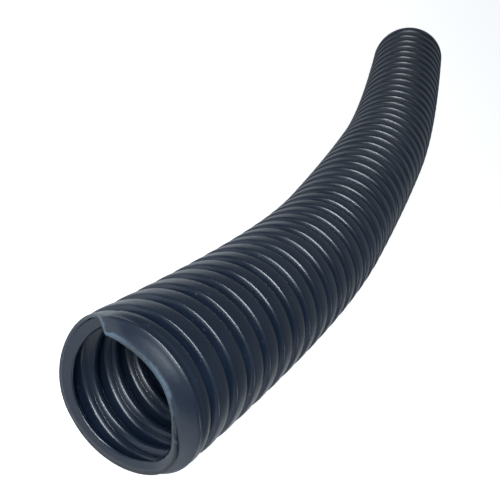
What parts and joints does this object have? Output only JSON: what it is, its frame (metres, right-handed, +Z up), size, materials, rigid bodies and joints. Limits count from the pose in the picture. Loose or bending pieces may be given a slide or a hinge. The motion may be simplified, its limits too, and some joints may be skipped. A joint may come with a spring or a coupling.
{
  "type": "pool vacuum hose",
  "caption": "Bare length of spirally corrugated flexible vacuum hose, gently curved, open and square-cut at both ends, for a pool cleaner or pump.",
  "frame": {"origin": "middle of the hose's outline, on the floor that it lies on", "axes": "+Z up; the hose lies along Y, with its near mouth facing -Y and its far end turned a little to -X"},
  "size_m": [0.1328, 0.4045, 0.0475],
  "materials": {
    "hose_wall": "black soft plastic with a cool blue cast, satin, fine extruder lines and scuffs along the crests"
  },
  "bodies": {
    "root": {"near_end_turns": "hose_wall", "middle_turns": "hose_wall", "far_end_turns": "hose_wall"}
  },
  "joints": []
}
